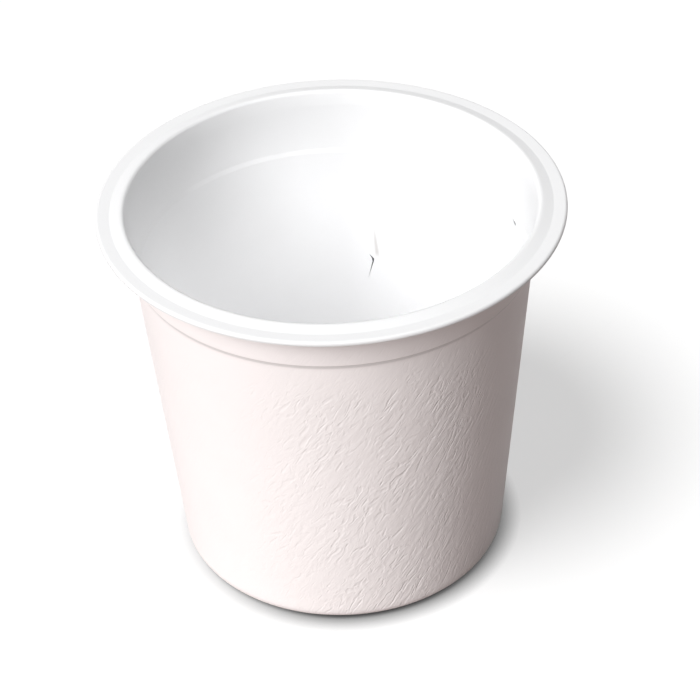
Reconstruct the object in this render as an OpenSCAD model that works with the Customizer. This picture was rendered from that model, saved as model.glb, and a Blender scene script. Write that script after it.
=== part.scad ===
// Moulded sugarcane-fibre cup: one pressed shell with a thin turned-out lip, a narrow collar and a raised base.
// Millimetres, +Z up, with the origin at the middle of the foot.

/* [Cup] */
// Outside diameter across the lip
lip_d = 80; // [80:0.5:84]
// Height from the foot to the crest of the lip
cup_h = 70; // [66:1:90]
// Thickness of the pressed fibre
wall_t = 0.8; // [0.7:0.05:0.9]

/* [Body] */
// Outside diameter of the collar just under the lip
neck_d = 71; // [70:0.25:71]
// Outside diameter of the wall at foot level, before its corner is rounded
foot_d = 58.2; // [54:0.2:62]
// Outside radius of the bottom corner
foot_corner_r = 2.3; // [1.5:0.1:4]

/* [Collar] */
// Height of the collar's lower edge above the foot
collar_z = 60.3; // [50:0.1:62]
// How far the collar stands out from the wall below it
collar_out = 0.3; // [0.1:0.05:0.4]
// Height of the ledge outside
ledge_h = 0.7; // [0.3:0.05:1]
// How far the softer ledge inside starts below the collar's lower edge
inner_ledge_below = 2.4; // [2.2:0.1:4]
// Height of the softer ledge inside
inner_ledge_h = 0.8; // [0.6:0.1:2]

/* [Lip] */
// Width of the nearly flat brim outside the crease
brim_w = 2.35; // [2:0.05:2.6]
// Depth of the crease between crest and brim, below the crest
crease_d = 0.5; // [0.3:0.05:0.6]
// Depth of the brim's outer edge below the crest
brim_d = 0.4; // [0.2:0.05:0.5]
// Width of the lip from its outer edge to the crest's outer side
crest_in = 4.1; // [3.8:0.1:4.1]
// Radius from the inside wall over the crest
crest_r = 0.6; // [0.4:0.05:0.6]
// Height of the flare between collar and crest
flare_h = 2.6; // [2:0.1:4]
// How far the flare stands out from the collar's line at the crest
flare_out = 0.35; // [0.1:0.05:0.4]

/* [Base] */
// Diameter of the raised middle of the base
raised_d = 42; // [20:1:46]
// How far the middle of the base is raised off the table
base_lift = 0.8; // [0.4:0.1:2]
// Width of the slope between the raised middle and the foot ring
base_slope_w = 1.4; // [1.2:0.1:3]

/* [Marks in the inner wall] */
// Depth of the tear and of the nick
mark_d = 0.35; // [0.2:0.05:0.5]
// Direction of the tear, seen from above
tear_az = 76.7; // [0:0.1:360]
// Height of the bend in the tear
tear_z = 35.8; // [20:0.1:50]
// Length of the tear's lower limb
tear_len = 4.5; // [2:0.1:8]
// Direction of the nick, seen from above
nick_az = 17; // [0:0.1:360]
// Height of the nick
nick_z = 57.2; // [20:0.1:57.2]
// Length of the nick
nick_len = 2.1; // [1:0.1:3]

/* [Hidden] */
$fn = 180;

lip_r = lip_d / 2;
neck_r = neck_d / 2;
foot_r = foot_d / 2;
raised_r = raised_d / 2;

// Height at which the flare's outside meets the underside of the lip
neck_z = cup_h - wall_t;
// Change of the wall's radius for each millimetre of height
draft = (neck_r - collar_out - foot_r) / neck_z;
// Outside radius of the wall, and of the collar, at height z
function wall_r(z) = foot_r + draft * z;
function collar_r(z) = wall_r(z) + collar_out;

// Heights at which the inner ledge and the flare start
inner_ledge_z = collar_z - inner_ledge_below;
flare_z = cup_h - flare_h;
// Outside radius of the flare at height z
function flare_r(z) = collar_r(z) + flare_out * (z - flare_z) / flare_h;

// Shift that keeps the sheet's thickness where the base bends up
bend_shift = wall_t * tan(atan(base_lift / base_slope_w) / 2);
// Widest angle between two points of a rounded corner
arc_step = 15;

// Unit vector from one point towards another
function toward(from, to) = (to - from) / norm(to - from);

// Points of the arc that rounds corner b, between a and c, to radius r
function corner_arc(a, b, c, r) =
    let (
        u = toward(b, a),
        v = toward(b, c),
        half = acos(u * v) / 2,
        middle = b + toward([0, 0], u + v) * r / sin(half),
        first = b + u * r / tan(half) - middle,
        last = b + v * r / tan(half) - middle,
        start = atan2(first.y, first.x),
        turn = (atan2(last.y, last.x) - start + 540) % 360 - 180,
        steps = max(2, ceil(abs(turn) / arc_step))
    )
    [for (i = [0:steps]) middle + r * [cos(start + turn * i / steps), sin(start + turn * i / steps)]];

function flat(p) = [p.x, p.y];

// Outline through corners given as [radius, height, corner radius]
function rounded(corners) =
    [for (i = [0:len(corners) - 1])
        each corners[i][2] == 0
            ? [flat(corners[i])]
            : corner_arc(flat(corners[i - 1]), flat(corners[i]), flat(corners[i + 1]), corners[i][2])];

// Outside of the sheet, from the middle of the base up and out under the lip to its free edge
outside = [
    [0, base_lift, 0],
    [raised_r, base_lift, 1.5],
    [raised_r + base_slope_w, 0, 1],
    [foot_r, 0, foot_corner_r],
    [wall_r(collar_z), collar_z, 0],
    [collar_r(collar_z + ledge_h), collar_z + ledge_h, 0.12],
    [collar_r(flare_z), flare_z, 4],
    [flare_r(neck_z), neck_z, 0.5],
    [lip_r - brim_w, neck_z - crease_d, 0.5],
    [lip_r, neck_z - brim_d, 0.15]
];

// Inside of the sheet, from the free edge back over the lip and down to the middle of the base
inside = [
    [lip_r, cup_h - brim_d, 0.5],
    [lip_r - brim_w, cup_h - crease_d, 0.5],
    [lip_r - crest_in, cup_h, 1],
    [flare_r(cup_h) - wall_t, cup_h, crest_r],
    [collar_r(flare_z) - wall_t, flare_z, 4],
    [collar_r(inner_ledge_z + inner_ledge_h) - wall_t, inner_ledge_z + inner_ledge_h, 0.4],
    [wall_r(inner_ledge_z) - wall_t, inner_ledge_z, 0.4],
    [wall_r(wall_t) - wall_t, wall_t, foot_corner_r - wall_t],
    [raised_r + base_slope_w - bend_shift, wall_t, 1],
    [raised_r - bend_shift, base_lift + wall_t, 1.5],
    [0, base_lift + wall_t, 0]
];

// Tear as seen from inside, [across, up] from its bend: a short open notch and a long thin limb
tear = [[-0.75, 0.95], [0.18, 0.05], [0.07, -0.7], [-0.23 * tear_len, -tear_len], [-0.13, -0.6], [-0.22, 0.05]];
// Nick as seen from inside: a slanted sliver, widest near its lower end
nick = nick_len * [[-0.5, 0.14], [0.3, 0.04], [0.5, -0.14], [0.22, -0.2]];

module shell() {
    rotate_extrude() polygon(rounded(concat(outside, inside)));
}

// Shallow cut of a given outline, square to the inner wall and following its slope
module wall_cut(az, z, outline) {
    rotate([0, 0, az])
        translate([wall_r(z) - wall_t, 0, z])
            rotate([0, atan(draft), 0])
                translate([mark_d, 0, 0])
                    rotate([90, 0, -90])
                        linear_extrude(2 * mark_d) polygon(outline);
}

module cup() {
    color([0.96, 0.95, 0.94])
        difference() {
            shell();
            wall_cut(tear_az, tear_z, tear);
            wall_cut(nick_az, nick_z, nick);
        }
}

cup();
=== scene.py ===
"""Looks of a cup moulded from sugarcane fibre: a thin white shell, finely wrinkled outside."""
import math

import bmesh
import bpy
from bpy.props import FloatProperty, FloatVectorProperty, IntProperty, PointerProperty
from mathutils import Matrix, Vector, noise


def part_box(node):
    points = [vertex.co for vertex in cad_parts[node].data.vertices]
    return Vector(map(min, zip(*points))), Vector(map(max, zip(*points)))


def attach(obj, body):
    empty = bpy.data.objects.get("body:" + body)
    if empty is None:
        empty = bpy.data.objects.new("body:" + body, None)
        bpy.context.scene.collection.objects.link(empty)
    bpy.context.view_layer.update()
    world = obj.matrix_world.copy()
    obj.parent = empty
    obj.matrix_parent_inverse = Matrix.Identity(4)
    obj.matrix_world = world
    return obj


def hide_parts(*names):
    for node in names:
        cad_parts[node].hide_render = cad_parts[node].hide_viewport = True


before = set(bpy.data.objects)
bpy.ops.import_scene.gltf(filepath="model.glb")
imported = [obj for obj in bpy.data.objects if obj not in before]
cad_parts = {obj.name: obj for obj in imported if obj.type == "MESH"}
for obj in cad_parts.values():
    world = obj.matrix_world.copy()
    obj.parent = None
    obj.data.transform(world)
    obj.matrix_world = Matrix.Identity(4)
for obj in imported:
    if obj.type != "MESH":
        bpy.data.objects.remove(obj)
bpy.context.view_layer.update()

bl_info = {
    "name": "Moulded fibre cup",
    "version": (1, 0, 0),
    "blender": (4, 5, 0),
    "location": "View3D > Sidebar > Cup",
    "description": "Models a drinking cup moulded from plant fibre, and the table and light it stands in",
    "category": "Add Mesh",
}

MM = 0.001
CUP_LOW, CUP_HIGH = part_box("cup")


def length(name, description, default_mm, precision=2):
    """Property for a length on the cup, given in millimetres and kept in metres."""
    return FloatProperty(name=name, description=description, default=default_mm * MM, min=0, unit="LENGTH",
                         subtype="DISTANCE", precision=precision + 3)


def tint(name, description, default):
    """Property for a colour."""
    return FloatVectorProperty(name=name, description=description, default=default, size=3, min=0, max=1,
                               subtype="COLOR")


def share(name, description, default, high=1.0):
    """Property for a plain number without a unit."""
    return FloatProperty(name=name, description=description, default=default, min=0, max=high, precision=3)


def turn(name, description, degrees):
    """Property for an angle, given in degrees."""
    return FloatProperty(name=name, description=description, default=math.radians(degrees), subtype="ANGLE",
                         unit="ROTATION")


class ShellSizes(bpy.types.PropertyGroup):
    """Sizes of the moulded shell."""
    lip_r: length("Lip radius", "Outside radius of the lip", CUP_HIGH.x / MM)
    cup_h: length("Height", "Height of the lip's crest", CUP_HIGH.z / MM)
    wall_t: length("Wall", "Thickness of the pressed fibre", 0.8)
    neck_r: length("Neck radius", "Outside radius of the collar under the lip", 35.5)
    foot_r: length("Foot radius", "Outside radius of the wall at foot level", 29.1)
    foot_corner_r: length("Bottom corner", "Outside radius of the bottom corner", 2.3)
    collar_z: length("Collar height", "Height of the collar's lower edge", 60.3)
    collar_out: length("Collar step", "How far the collar stands out from the wall", 0.3)
    ledge_h: length("Ledge", "Height of the ledge outside", 0.7)
    inner_ledge_below: length("Inner ledge start", "Start of the soft inner ledge, below the collar", 2.4)
    inner_ledge_h: length("Inner ledge", "Height of the soft ledge inside", 0.8)
    brim_w: length("Brim width", "Width of the nearly flat brim outside the crease", 2.35)
    crease_d: length("Crease depth", "Depth of the crease between crest and brim", 0.5)
    brim_d: length("Brim depth", "Depth of the brim's outer edge below the crest", 0.4)
    crest_in: length("Crest", "Width of the lip from its edge to the crest", 4.1)
    crest_r: length("Crest radius", "Radius from the inside wall over the crest", 0.6)
    flare_h: length("Flare height", "Height of the flare between collar and crest", 2.6)
    flare_out: length("Flare", "How far the flare stands out at the crest", 0.35)
    raised_r: length("Raised base radius", "Radius of the raised middle of the base", 21.0)
    base_lift: length("Raised base height", "How far the middle of the base is raised", 0.8)
    base_slope_w: length("Base slope", "Width of the slope around the raised middle", 1.4)
    columns: IntProperty(name="Columns", description="Faces around the cup", default=216, min=24)
    wall_rows: IntProperty(name="Wall rows", description="Faces up the outer wall", default=76, min=8)


class WallMarks(bpy.types.PropertyGroup):
    """Tear and nick in the inner wall."""
    depth: length("Depth", "Depth of both cuts", 0.35)
    tear_az: turn("Tear direction", "Direction of the tear, seen from above", 76.7)
    tear_z: length("Tear height", "Height of the bend in the tear", 35.8)
    tear_len: length("Tear length", "Length of the tear's lower limb", 4.5)
    nick_az: turn("Nick direction", "Direction of the nick, seen from above", 17)
    nick_z: length("Nick height", "Height of the nick", 57.2)
    nick_len: length("Nick length", "Length of the nick", 2.1)


class FibreFinish(bpy.types.PropertyGroup):
    """Colours and grain of the pressed fibre."""
    # Darker than the outside as painted shade, which holds back the stronger light inside the cup.
    smooth_tint_and_shade: tint("Inside", "Colour of the smooth inside and the lip", (0.735, 0.735, 0.74))
    outer_tint: tint("Outside", "Colour of the wrinkled outside", (0.915, 0.865, 0.857))
    # Dark colour painted down in the tear and the nick as their shadow.
    tear_shade_tint: tint("Torn fibre", "Colour down in the tear and the nick", (0.03, 0.028, 0.028))
    # Colour of the painted shade of the crease above the tear, partly smudge, and of the painted shade
    # under the collar.
    smudge_and_painted_shade_tint: tint("Smudge", "Colour of the smudge above the tear", (0.50, 0.48, 0.47))
    smooth_rough: share("Inside roughness", "Roughness of the smooth inside and the lip", 0.45)
    outer_rough: share("Outside roughness", "Roughness of the wrinkled outside", 0.62)
    wrinkle_lean: turn("Wrinkle lean", "Angle of the wrinkles from level", 61)
    wrinkle_gap: length("Wrinkle gap", "Distance between neighbouring wrinkles", 1.1)
    wrinkle_relief: length("Wrinkle relief", "Height of the modelled wrinkles", 0.03, 3)
    wrinkle_depth: length("Wrinkle depth", "Depth that shading adds to the wrinkles", 0.15)
    calm_share: share("Calm side", "Share of the wrinkles left on the cup's left side", 0.3)
    calm_width: length("Calm side width", "Distance over which the wrinkles fade to the left", 24)
    grain_depth: length("Grain depth", "Depth of the fibre's fine grain", 0.004, 3)
    # Strength of the smudge and the painted crease shade above the tear.
    smudge_and_crease_shade_share: share("Smudge strength", "How much of the smudge's colour shows", 0.75)
    # Painted shade along the collar's lower edge.
    collar_shade_share: share("Collar shade", "How much the collar's lower edge darkens", 0.42)


class StageSettings(bpy.types.PropertyGroup):
    """Table, lamps and camera."""
    table_half: length("Table", "Half the width of the table top", 4000)
    lamp_az: turn("Lamp direction", "Direction that the light comes from, seen from above", 228)
    key: share("Key lamp", "Brightness of the lamp on the cup", 2.85, 20)
    key_rise: turn("Key rise", "Height of the key lamp above level", 38)
    key_soft: turn("Key softness", "Width of the key lamp, seen from the cup", 30)
    low: share("Low lamp", "Brightness of the low lamp that fills the shade under the lip", 0.8, 20)
    low_rise: turn("Low rise", "Height of the low lamp above level", 12)
    low_soft: turn("Low softness", "Width of the low lamp, seen from the cup", 14)
    top: share("Top lamp", "Brightness of the lamp above the cup", 1.5, 20)
    top_soft: turn("Top softness", "Width of the lamp above the cup", 40)
    inside: share("Inside lamp", "Thousandths of a watt of the small soft lamp inside the cup", 6.5, 100)
    inside_size: length("Inside lamp size", "Diameter of the lamp inside the cup", 30)
    inside_x: length("Inside lamp place", "Distance of that lamp from the cup's middle", 8)
    inside_z: length("Inside lamp height", "Height of that lamp", 40)
    inside_az: turn("Inside lamp direction", "Direction that the lamp inside the cup faces", 190)
    table_key: share("Table lamp", "Brightness of the lamp that throws the cup's shadow", 3.3, 20)
    table_rise: turn("Table lamp rise", "Height of that lamp above level", 64)
    table_soft: turn("Table lamp softness", "Width of that lamp, seen from the table", 24)
    table_glow: share("Table glow", "Share of the table's white that no lamp changes", 0.56)
    bounce_tint: tint("Bounce", "Colour of the light that the table throws back", (0.29, 0.24, 0.23))
    contact: length("Contact shade", "Reach of the darker rim of table round the foot", 4)
    contact_left: share("Left contact shade", "Share of that shade left on the left side", 0.35)
    contact_width: length("Contact width", "Distance over which that shade fades to the left", 30)
    fill: share("Fill", "Brightness of the soft light from all round", 0.14, 5)
    focal: FloatProperty(name="Focal length", description="Focal length on a 36 mm sensor", default=128.57,
                         unit="CAMERA")
    tilt: turn("Camera tilt", "How far the camera looks down", 37.16)
    roll: turn("Camera roll", "How far the camera leans to its right", 2.28)
    place: FloatVectorProperty(name="Camera place", description="Where the camera stands", size=3,
                               subtype="XYZ_LENGTH", unit="LENGTH",
                               default=(2.21 * MM, -352.95 * MM, 305.27 * MM))


class Wire:
    """Socket of a node tree that takes part in Python arithmetic."""

    def __init__(self, nodes, socket):
        self.nodes = nodes
        self.socket = socket

    def maths(self, operation, *values):
        return self.nodes.add("ShaderNodeMath", {"operation": operation}, dict(enumerate(values)))

    def __add__(self, other):
        return self.maths("ADD", self, other)

    def __sub__(self, other):
        return self.maths("SUBTRACT", self, other)

    def __rsub__(self, other):
        return self.maths("SUBTRACT", other, self)

    def __mul__(self, other):
        return self.maths("MULTIPLY", self, other)

    def __pow__(self, other):
        return self.maths("POWER", self, other)

    def __abs__(self):
        return self.maths("ABSOLUTE", self)

    __radd__ = __add__
    __rmul__ = __mul__

    def largest(self, other):
        return self.maths("MAXIMUM", self, other)

    def ramp(self, low, high):
        """0 up to low, 1 from high, and smooth between them."""
        return self.nodes.add("ShaderNodeMapRange", {"interpolation_type": "SMOOTHSTEP"},
                              {"Value": self, "From Min": low, "From Max": high})


class Nodes:
    """Node tree of a material or a world, filled one node at a time."""

    def __init__(self, owner):
        owner.use_nodes = True
        self.tree = owner.node_tree
        self.tree.nodes.clear()

    def add(self, kind, settings=None, sockets=None, output=0):
        """Adds a node: its settings come first, then the values or links of its sockets."""
        node = self.tree.nodes.new(kind)
        for name, value in (settings or {}).items():
            setattr(node, name, value)
        for key, value in (sockets or {}).items():
            if isinstance(value, Wire):
                self.tree.links.new(value.socket, node.inputs[key])
            else:
                node.inputs[key].default_value = value
        return Wire(self, node.outputs[output]) if node.outputs else node

    def blend(self, share, first, second):
        """Colour that goes from the first to the second with share."""
        return self.add("ShaderNodeMix", {"data_type": "RGBA"}, {0: share, 6: first, 7: second}, 2)


def rgba(colour):
    return (*colour, 1.0)


def cup_draft(size):
    """Change of the wall's radius for each unit of height."""
    return (size.neck_r - size.collar_out - size.foot_r) / (size.cup_h - size.wall_t)


def wall_r(size, z):
    """Outside radius of the wall below the collar."""
    return size.foot_r + cup_draft(size) * z


def collar_r(size, z):
    """Outside radius of the collar."""
    return wall_r(size, z) + size.collar_out


def ledge_foot(size):
    """Height at which the inner ledge starts."""
    return size.collar_z - size.inner_ledge_below


def section_corners(size):
    """Corners of the section as (radius, height, corner radius): up the outside, over the lip and down."""
    top, lip, wall = size.cup_h, size.lip_r, size.wall_t
    neck_z, flare_z = top - wall, top - size.flare_h
    outer_ledge, inner_ledge = size.collar_z + size.ledge_h, ledge_foot(size) + size.inner_ledge_h
    bend_shift = wall * math.tan(math.atan(size.base_lift / size.base_slope_w) / 2)
    return [
        (0, size.base_lift, 0),
        (size.raised_r, size.base_lift, 1.5 * MM),
        (size.raised_r + size.base_slope_w, 0, 1 * MM),
        (size.foot_r, 0, size.foot_corner_r),
        (wall_r(size, size.collar_z), size.collar_z, 0),
        (collar_r(size, outer_ledge), outer_ledge, 0.12 * MM),
        (collar_r(size, flare_z), flare_z, 4 * MM),
        (collar_r(size, neck_z) + size.flare_out * (neck_z - flare_z) / size.flare_h, neck_z, 0.5 * MM),
        (lip - size.brim_w, neck_z - size.crease_d, 0.5 * MM),
        (lip, neck_z - size.brim_d, 0.15 * MM),
        (lip, top - size.brim_d, 0.5 * MM),
        (lip - size.brim_w, top - size.crease_d, 0.5 * MM),
        (lip - size.crest_in, top, 1 * MM),
        (collar_r(size, top) + size.flare_out - wall, top, size.crest_r),
        (collar_r(size, flare_z) - wall, flare_z, 4 * MM),
        (collar_r(size, inner_ledge) - wall, inner_ledge, 0.4 * MM),
        (wall_r(size, ledge_foot(size)) - wall, ledge_foot(size), 0.4 * MM),
        (wall_r(size, wall) - wall, wall, size.foot_corner_r - wall),
        (size.raised_r + size.base_slope_w - bend_shift, wall, 1 * MM),
        (size.raised_r - bend_shift, size.base_lift + wall, 1.5 * MM),
        (0, size.base_lift + wall, 0),
    ]


def round_corner(bm, vert, before, after, radius, step=math.radians(15)):
    """Rounds one corner of a flat face to a true radius."""
    bend = math.pi - (before - vert.co).angle(after - vert.co)
    bmesh.ops.bevel(bm, geom=[vert], offset=radius * math.tan(bend / 2), offset_type="OFFSET",
                    segments=max(2, math.ceil(bend / step)), profile=0.5, affect="VERTICES", material=-1)


def shell_section(bm, size):
    """Draws the shell's section as one open outline."""
    corners = section_corners(size)
    spots = [Vector((r, 0, z)) for r, z, radius in corners]
    verts = [bm.verts.new(spot) for spot in spots]
    bm.faces.new(verts)
    for i, (r, z, radius) in enumerate(corners):
        if radius:
            round_corner(bm, verts[i], spots[i - 1], spots[i + 1], radius)
    bmesh.ops.delete(bm, geom=bm.faces[:], context="FACES_ONLY")
    on_axis = [e for e in bm.edges if all(v.co.x < 0.01 * MM for v in e.verts)]
    bmesh.ops.delete(bm, geom=on_axis, context="EDGES")


def outline(bm):
    """Vertices of the open section in order, from under the base up, over the lip and down inside."""
    chain = [min((v for v in bm.verts if v.co.x < 0.01 * MM), key=lambda v: v.co.z)]
    while True:
        onward = [e.other_vert(chain[-1]) for e in chain[-1].link_edges]
        onward = [v for v in onward if v not in chain[-2:]]
        if not onward:
            return chain
        chain.append(onward[0])


def divide_longest(bm, cuts, part):
    """Divides the longest edge of a part of the section, and returns the height of its lower end."""
    verts = [v for v in outline(bm) if part(v.co)]
    edges = {e for v in verts for e in v.link_edges if all(end in verts for end in e.verts)}
    longest = max(edges, key=lambda e: e.calc_length())
    foot = min(v.co.z for v in longest.verts)
    bmesh.ops.subdivide_edges(bm, edges=[longest], cuts=cuts)
    return foot


def wrinkle_twist(size, finish):
    """Turn about the axis, for each unit of height, that follows the wrinkles."""
    return 1 / (math.tan(finish.wrinkle_lean) * wall_r(size, size.cup_h / 2))


def is_outer_wall(size, co):
    """Whether a point lies on the outside of the wall below the collar."""
    middle = wall_r(size, co.z) - size.wall_t / 2
    return math.hypot(co.x, co.y) > middle and co.z < size.collar_z + 0.01 * MM


def cutter(size, marks, azimuth, height, outline):
    """Prism that cuts a mark of the given outline into the inner wall, square to it."""
    bm = bmesh.new()
    face = bm.faces.new([bm.verts.new((-marks.depth, -across, up)) for across, up in outline])
    made = bmesh.ops.extrude_face_region(bm, geom=[face])["geom"]
    moved = [g for g in made if isinstance(g, bmesh.types.BMVert)]
    bmesh.ops.translate(bm, verts=moved, vec=(2 * marks.depth, 0, 0))
    face_az = Matrix.Rotation(azimuth, 4, "Z")
    on_wall = Matrix.Translation((wall_r(size, height) - size.wall_t, 0, height))
    lean = Matrix.Rotation(math.atan(cup_draft(size)), 4, "Y")
    bmesh.ops.transform(bm, matrix=face_az @ on_wall @ lean, verts=bm.verts)
    bmesh.ops.recalc_face_normals(bm, faces=bm.faces)
    mesh = bpy.data.meshes.new("mark_cutter")
    bm.to_mesh(mesh)
    bm.free()
    piece = bpy.data.objects.new("mark_cutter", mesh)
    bpy.context.scene.collection.objects.link(piece)
    return piece


def mark_cutters(size, marks):
    """Cutters of the tear, with its bend and its long thin limb, and of the slanted nick."""
    limb = marks.tear_len
    tear = [(-0.75 * MM, 0.95 * MM), (0.18 * MM, 0.05 * MM), (0.07 * MM, -0.7 * MM), (-0.23 * limb, -limb),
            (-0.13 * MM, -0.6 * MM), (-0.22 * MM, 0.05 * MM)]
    nick = [(across * marks.nick_len, up * marks.nick_len)
            for across, up in ((-0.5, 0.14), (0.3, 0.04), (0.5, -0.14), (0.22, -0.2))]
    return [cutter(size, marks, marks.tear_az, marks.tear_z, tear),
            cutter(size, marks, marks.nick_az, marks.nick_z, nick)]


def cut_marks(piece, cutters):
    """Cuts the marks out of the shell and removes the cutters."""
    for tool in cutters:
        cut = piece.modifiers.new("mark", "BOOLEAN")
        cut.operation = "DIFFERENCE"
        cut.solver = "EXACT"
        cut.object = tool
    graph = bpy.context.evaluated_depsgraph_get()
    mesh = bpy.data.meshes.new_from_object(piece.evaluated_get(graph))
    piece.modifiers.clear()
    piece.data = mesh
    for tool in cutters:
        bpy.data.objects.remove(tool)


def spin_shell(size, finish):
    """Closed shell turned from its section, with the outer wall's columns leaning as its wrinkles do."""
    bm = bmesh.new()
    shell_section(bm, size)
    wall_foot = divide_longest(bm, size.wall_rows - 1, lambda co: is_outer_wall(size, co))
    divide_longest(bm, 11, lambda co: not is_outer_wall(size, co) and size.wall_t < co.z < size.collar_z)
    twist = wrinkle_twist(size, finish)
    for v in outline(bm):
        if v.co.z > size.collar_z - 0.01 * MM:
            break
        v.co.rotate(Matrix.Rotation(twist * (max(v.co.z, wall_foot) - size.collar_z), 3, "Z"))
    bmesh.ops.spin(bm, geom=bm.verts[:] + bm.edges[:], cent=(0, 0, 0), axis=(0, 0, 1), angle=2 * math.pi,
                   steps=size.columns, use_merge=True)
    bmesh.ops.remove_doubles(bm, verts=bm.verts, dist=0.001 * MM)
    bmesh.ops.recalc_face_normals(bm, faces=bm.faces)
    return bm, wall_foot


def refine_wall(bm, size, wall_foot):
    """Divides the outer wall's columns and puts every new vertex back on the cone."""
    rings = [e for e in bm.edges
             if abs(e.verts[0].co.z - e.verts[1].co.z) < 0.001 * MM
             and e.verts[0].co.z > wall_foot - 0.01 * MM
             and all(is_outer_wall(size, v.co) for v in e.verts)]
    bmesh.ops.subdivide_edges(bm, edges=rings, cuts=3, use_grid_fill=True)
    wall = [v for v in bm.verts if v.co.z > wall_foot - 0.01 * MM and is_outer_wall(size, v.co)]
    for v in wall:
        flat = Vector((v.co.x, v.co.y, 0))
        v.co = flat * (wall_r(size, v.co.z) / flat.length) + Vector((0, 0, v.co.z))
    return wall


def raise_wrinkles(wall, size, finish):
    """Moves the outer wall's vertices in and out along the slanted wrinkles."""
    twist = wrinkle_twist(size, finish)
    fine = 1 / finish.wrinkle_gap
    for v in wall:
        fade = min(1, max(0, (size.collar_z - v.co.z) / (8 * MM))) * min(1, v.co.z / (4 * MM))
        fade *= min(1, max(finish.calm_share, 1 + v.co.x / finish.calm_width))
        spot = Matrix.Rotation(-twist * v.co.z, 3, "Z") @ v.co
        spot.z *= 0.3
        spot += 0.6 * finish.wrinkle_gap * noise.noise_vector(spot * fine * 0.35)
        height = noise.noise(spot * fine * 1.25) + 0.5 * noise.noise(spot * fine * 2.3)
        out = Vector((v.co.x, v.co.y, 0)).normalized()
        v.co += out * (height * fade * finish.wrinkle_relief)


def outer_side(size, z, radius, past_middle):
    """1 on the outside of wall and base, 0 on the inside and on the lip."""
    below_brim = 1 - z.ramp(size.cup_h - 1.6 * MM, size.cup_h - 1.3 * MM)
    raised = (1 - radius.ramp(size.raised_r, size.raised_r + size.base_slope_w)) * size.base_lift
    under_base = 1 - (z - raised).ramp(0.35 * MM, 0.45 * MM)
    return (past_middle.ramp(-0.1 * MM, 0.1 * MM) * below_brim).largest(under_base)


def smudge_and_crease_shade_mask(up, right, y):
    """Slanted mark on the inner wall that widens down to the tear: painted shade of a shallow crease,
    partly smudge.
    """
    astray = abs(right + up * 0.107 - 0.9 * MM)
    across = 1 - (astray - (8 * MM - up) * 0.03).ramp(-0.1 * MM, 0.35 * MM)
    along = up.ramp(0.2 * MM, 1.6 * MM) * (1 - up.ramp(3 * MM, 8.5 * MM))
    return across * along * y.ramp(0, 1 * MM)


def tear_shade_mask(size, z, up, y, in_wall, past_middle):
    """Painted shadow down in the cut faces of the tear and the nick, paler towards the end of the tear's
    thin limb.
    """
    cut = in_wall.ramp(0.03 * MM, 0.14 * MM) * (1 - past_middle.ramp(-0.02 * MM, 0.0))
    band = z.ramp(20 * MM, 21 * MM) * (1 - z.ramp(ledge_foot(size) - 0.1 * MM, ledge_foot(size)))
    strong = up.ramp(-4 * MM, -0.5 * MM).largest(1 - y.ramp(0, 1 * MM)).largest(up.ramp(8 * MM, 9 * MM))
    return cut * band * (0.45 + 0.55 * strong)


def collar_shade_mask(size, z):
    """Narrow band of painted shade at the collar's lower edge, where the step would throw a thin shadow."""
    ledge_top = size.collar_z + size.ledge_h
    return z.ramp(size.collar_z - 0.3 * MM, size.collar_z) * (1 - z.ramp(ledge_top - 0.1 * MM, ledge_top))


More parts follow.
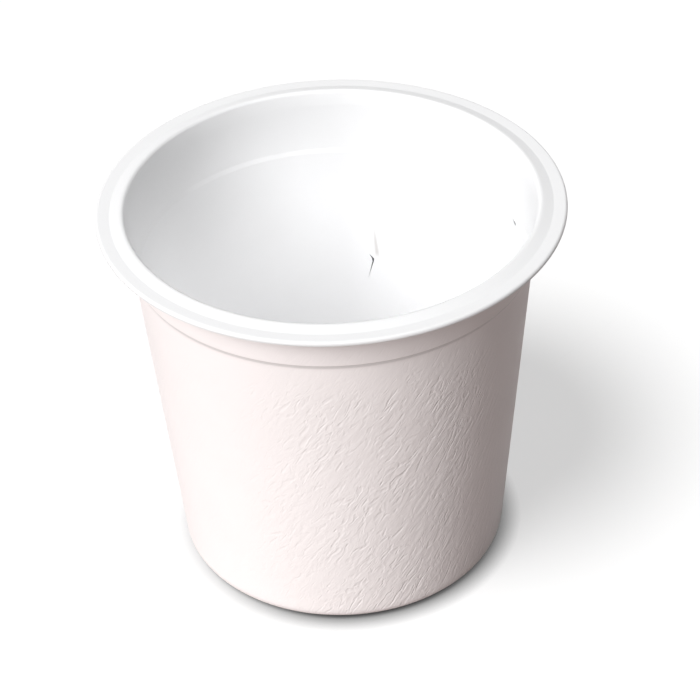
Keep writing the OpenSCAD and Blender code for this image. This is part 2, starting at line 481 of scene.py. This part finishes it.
def fibre_material(size, marks, finish):
    """Pressed fibre: smooth, cool and coloured darker as painted shade inside and on the lip, warmer and
    finely wrinkled outside.
    """
    material = bpy.data.materials.new("moulded_fibre")
    nodes = Nodes(material)
    here = nodes.add("ShaderNodeTexCoord", output=3)
    x, y, z = (nodes.add("ShaderNodeSeparateXYZ", sockets={0: here}, output=i) for i in range(3))
    radius = (x * x + y * y) ** 0.5
    in_wall = radius - (z * cup_draft(size) + (size.foot_r - size.wall_t))
    bulge = (z.ramp(ledge_foot(size), size.collar_z) * size.collar_out
             + z.ramp(size.cup_h - size.flare_h, size.cup_h) * size.flare_out)
    past_middle = in_wall - bulge - size.wall_t / 2
    outer = outer_side(size, z, radius, past_middle)

    patches = nodes.add("ShaderNodeTexNoise", sockets={"Vector": here, "Scale": 0.1 / MM, "Detail": 1.0})
    uneven = 0.55 + patches.ramp(0.3, 0.7) * 0.45
    below_collar = 1 - z.ramp(size.collar_z - 9 * MM, size.collar_z - 1 * MM) * 0.75
    calm = finish.calm_share + x.ramp(-finish.calm_width, 0) * (1 - finish.calm_share)
    ridges = wrinkle_ridges(nodes, here, z, size, finish) * (outer * below_collar * uneven * calm)
    rolling = nodes.add("ShaderNodeBump", sockets={"Strength": 1.0, "Distance": finish.wrinkle_depth,
                                                   "Height": ridges})
    pulp = nodes.add("ShaderNodeTexNoise", sockets={"Vector": here, "Scale": 3.2 / MM, "Detail": 2.0})
    grained = nodes.add("ShaderNodeBump", sockets={"Strength": 1.0, "Distance": finish.grain_depth,
                                                   "Height": pulp * (outer * 0.7 + 0.3), "Normal": rolling})

    # The inside and the lip get the darker colour that paints shade against their stronger light.
    base = nodes.blend(outer, rgba(finish.smooth_tint_and_shade), rgba(finish.outer_tint))
    cloud = nodes.add("ShaderNodeTexNoise", sockets={"Vector": here, "Scale": 0.09 / MM, "Detail": 3.0})
    shade = nodes.blend(cloud.ramp(0.3, 0.7) * 0.35, base,
                        nodes.add("ShaderNodeHueSaturation", sockets={"Value": 0.965, "Color": base}))
    up = z - marks.tear_z
    right = x * math.sin(marks.tear_az) - y * math.cos(marks.tear_az)
    # Painted shade of a shallow crease above the tear, partly smudge.
    smudge_and_crease_shade = smudge_and_crease_shade_mask(up, right, y) * (1 - outer) * finish.smudge_and_crease_shade_share
    # Painted shade along the collar's lower edge, where the step would throw a thin shadow.
    collar_shade = collar_shade_mask(size, z) * outer * finish.collar_shade_share
    smudged_and_shaded = nodes.blend(smudge_and_crease_shade.largest(collar_shade), shade, rgba(finish.smudge_and_painted_shade_tint))
    # Painted shadow down in the tear and the nick.
    tear_shade = tear_shade_mask(size, z, up, y, in_wall, past_middle)
    rough = outer * (finish.outer_rough - finish.smooth_rough) + finish.smooth_rough
    skin = nodes.add("ShaderNodeBsdfPrincipled", sockets={
        "Base Color": nodes.blend(tear_shade, smudged_and_shaded, rgba(finish.tear_shade_tint)),
        "Roughness": rough + (cloud - 0.5) * 0.08, "Normal": grained, "Specular IOR Level": 0.35})
    nodes.add("ShaderNodeOutputMaterial", sockets={"Surface": skin})
    return material


def wrinkle_ridges(nodes, here, z, size, finish):
    """Height of the slanted, branching wrinkles."""
    upright = nodes.add("ShaderNodeVectorRotate", {"rotation_type": "Z_AXIS"},
                        {"Vector": here, "Angle": z * -wrinkle_twist(size, finish)})
    drawn = nodes.add("ShaderNodeMapping", sockets={"Vector": upright, "Scale": (1, 1, 0.52)})
    wander = nodes.add("ShaderNodeTexNoise", sockets={"Vector": drawn, "Scale": 0.5 / finish.wrinkle_gap,
                                                      "Detail": 1.0}, output=1)
    wandered = nodes.add("ShaderNodeVectorMath", {"operation": "MULTIPLY_ADD"},
                         {0: wander, 1: (2.0 * finish.wrinkle_gap,) * 3, 2: drawn})
    swell = nodes.add("ShaderNodeTexNoise", sockets={"Vector": wandered, "Scale": 1.1 / finish.wrinkle_gap,
                                                     "Detail": 1.5, "Roughness": 0.5})
    return swell * 0.6 + (1 - abs((swell - 0.5) * 5)).largest(0) * 0.3


def table_material(stage):
    """White table that keeps the cup's shadow, has a painted contact shade round the foot, and throws back
    only part of the light.
    """
    material = bpy.data.materials.new("table_white")
    nodes = Nodes(material)
    paper = nodes.add("ShaderNodeBsdfDiffuse", sockets={"Color": (1, 1, 1, 1)})
    glow = nodes.add("ShaderNodeEmission", sockets={"Color": (1, 1, 1, 1), "Strength": 1.0})
    dark = nodes.add("ShaderNodeBsdfDiffuse", sockets={"Color": (0, 0, 0, 1)})
    bounce = nodes.add("ShaderNodeBsdfDiffuse", sockets={"Color": rgba(stage.bounce_tint)})
    # Painted contact shade: the table is mixed towards black where the cup stands close, less on the left
    # side.
    open_air = nodes.add("ShaderNodeAmbientOcclusion", {"samples": 16}, {"Distance": stage.contact}, "AO")
    x = nodes.add("ShaderNodeSeparateXYZ", sockets={0: nodes.add("ShaderNodeTexCoord", output=3)})
    side = stage.contact_left + x.ramp(-stage.contact_width, 0) * (1 - stage.contact_left)
    white = nodes.add("ShaderNodeMixShader", sockets={0: stage.table_glow, 1: paper, 2: glow})
    shown = nodes.add("ShaderNodeMixShader", sockets={0: (1 - open_air ** 1.3) * side, 1: white, 2: dark})
    surface = nodes.add("ShaderNodeMixShader", sockets={0: seen_directly(nodes), 1: bounce, 2: shown})
    nodes.add("ShaderNodeOutputMaterial", sockets={"Surface": surface})
    return material


def seen_directly(nodes):
    """1 for what the camera sees, also in a mirror or through glass."""
    camera = nodes.add("ShaderNodeLightPath", output="Is Camera Ray")
    mirror = nodes.add("ShaderNodeLightPath", output="Is Glossy Ray")
    glass = nodes.add("ShaderNodeLightPath", output="Is Transmission Ray")
    return camera.largest(mirror).largest(glass)


def white_world(fill):
    """Soft light from all round, seen as plain white."""
    world = bpy.data.worlds.new("soft_white")
    nodes = Nodes(world)
    soft = nodes.add("ShaderNodeBackground", sockets={"Color": (1, 1, 1, 1), "Strength": fill})
    white = nodes.add("ShaderNodeBackground", sockets={"Color": (1, 1, 1, 1), "Strength": 1.0})
    surface = nodes.add("ShaderNodeMixShader", sockets={0: seen_directly(nodes), 1: soft, 2: white})
    nodes.add("ShaderNodeOutputWorld", sockets={"Surface": surface})
    return world


def sun(name, strength, azimuth, rise, softness, table, lights_table, shadow=True):
    """Lamp from one direction that lights either the table alone or everything else."""
    lamp = bpy.data.lights.new(name, "SUN")
    lamp.energy = strength
    lamp.angle = softness
    lamp.use_shadow = shadow
    piece = bpy.data.objects.new(name, lamp)
    bpy.context.scene.collection.objects.link(piece)
    piece.rotation_euler = (math.pi / 2 - rise, 0, azimuth + math.pi / 2)
    lit = bpy.data.collections.new(name + "_lit")
    lit.objects.link(table)
    lit.collection_objects[0].light_linking.link_state = "INCLUDE" if lights_table else "EXCLUDE"
    piece.light_linking.receiver_collection = lit


def inside_lamp(stage):
    """Small soft lamp that stands in for the light thrown about inside the cup."""
    lamp = bpy.data.lights.new("inside", "AREA")
    lamp.shape = "DISK"
    lamp.size = stage.inside_size
    lamp.energy = stage.inside / 1000
    piece = bpy.data.objects.new("inside", lamp)
    piece.location = (stage.inside_x, 0, stage.inside_z)
    piece.rotation_euler = (math.pi / 2, 0, stage.inside_az - math.pi / 2)
    piece.visible_camera = False
    bpy.context.scene.collection.objects.link(piece)


class CUP_OT_shell(bpy.types.Operator):
    """Models the moulded shell with its marks and its finish"""
    bl_idname = "cup.shell"
    bl_label = "Moulded shell"

    def execute(self, context):
        size, marks, finish = context.scene.cup_size, context.scene.cup_marks, context.scene.cup_finish
        bm, wall_foot = spin_shell(size, finish)
        mesh = bpy.data.meshes.new("cup_shell")
        bm.to_mesh(mesh)
        bm.free()
        shell = bpy.data.objects.new("cup_shell", mesh)
        context.scene.collection.objects.link(shell)
        cut_marks(shell, mark_cutters(size, marks))
        bm = bmesh.new()
        bm.from_mesh(shell.data)
        wall = refine_wall(bm, size, wall_foot)
        raise_wrinkles(wall, size, finish)
        for face in bm.faces:
            face.smooth = True
        for edge in bm.edges:
            edge.smooth = edge.calc_face_angle(0) < math.radians(40)
        bm.to_mesh(shell.data)
        bm.free()
        shell.data.materials.clear()
        shell.data.materials.append(fibre_material(size, marks, finish))
        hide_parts("cup")
        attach(shell, "root")
        return {"FINISHED"}


class CUP_OT_stage(bpy.types.Operator):
    """Sets up the white table, the lamps and the camera"""
    bl_idname = "cup.stage"
    bl_label = "Table, lamps and camera"

    def execute(self, context):
        scene, stage = context.scene, context.scene.cup_stage
        bm = bmesh.new()
        bmesh.ops.create_grid(bm, x_segments=1, y_segments=1, size=stage.table_half)
        mesh = bpy.data.meshes.new("table")
        bm.to_mesh(mesh)
        bm.free()
        mesh.materials.append(table_material(stage))
        table = bpy.data.objects.new("table", mesh)
        scene.collection.objects.link(table)

        az = stage.lamp_az
        sun("key", stage.key, az, stage.key_rise, stage.key_soft, table, lights_table=False)
        sun("low", stage.low, az, stage.low_rise, stage.low_soft, table, lights_table=False, shadow=False)
        sun("top", stage.top, az, math.pi / 2, stage.top_soft, table, lights_table=False)
        sun("table_key", stage.table_key, az, stage.table_rise, stage.table_soft, table, lights_table=True)
        inside_lamp(stage)
        scene.world = white_world(stage.fill)

        lens = bpy.data.cameras.new("camera")
        lens.lens = stage.focal
        lens.clip_start = 10 * MM
        camera = bpy.data.objects.new("camera", lens)
        camera.matrix_world = (Matrix.Translation(stage.place)
                               @ Matrix.Rotation(math.pi / 2 - stage.tilt, 4, "X")
                               @ Matrix.Rotation(-stage.roll, 4, "Z"))
        scene.collection.objects.link(camera)
        scene.camera = camera
        scene.view_settings.view_transform = "Standard"
        return {"FINISHED"}


class CUP_PT_panel(bpy.types.Panel):
    """Sidebar panel of the cup"""
    bl_idname = "CUP_PT_panel"
    bl_label = "Moulded fibre cup"
    bl_space_type = "VIEW_3D"
    bl_region_type = "UI"
    bl_category = "Cup"

    def draw(self, context):
        for operator, group in ((CUP_OT_shell, "cup_size"), (CUP_OT_stage, "cup_stage")):
            self.layout.operator(operator.bl_idname)
            for name in getattr(context.scene, group).__annotations__:
                self.layout.prop(getattr(context.scene, group), name)
        for group in ("cup_marks", "cup_finish"):
            for name in getattr(context.scene, group).__annotations__:
                self.layout.prop(getattr(context.scene, group), name)


GROUPS = {"cup_size": ShellSizes, "cup_marks": WallMarks, "cup_finish": FibreFinish,
          "cup_stage": StageSettings}
CLASSES = (*GROUPS.values(), CUP_OT_shell, CUP_OT_stage, CUP_PT_panel)


def register():
    for cls in CLASSES:
        bpy.utils.register_class(cls)
    for name, group in GROUPS.items():
        setattr(bpy.types.Scene, name, PointerProperty(type=group))


def unregister():
    for name in GROUPS:
        delattr(bpy.types.Scene, name)
    for cls in reversed(CLASSES):
        bpy.utils.unregister_class(cls)


def main():
    register()
    bpy.ops.cup.shell()
    bpy.ops.cup.stage()


if __name__ == "__main__":
    main()
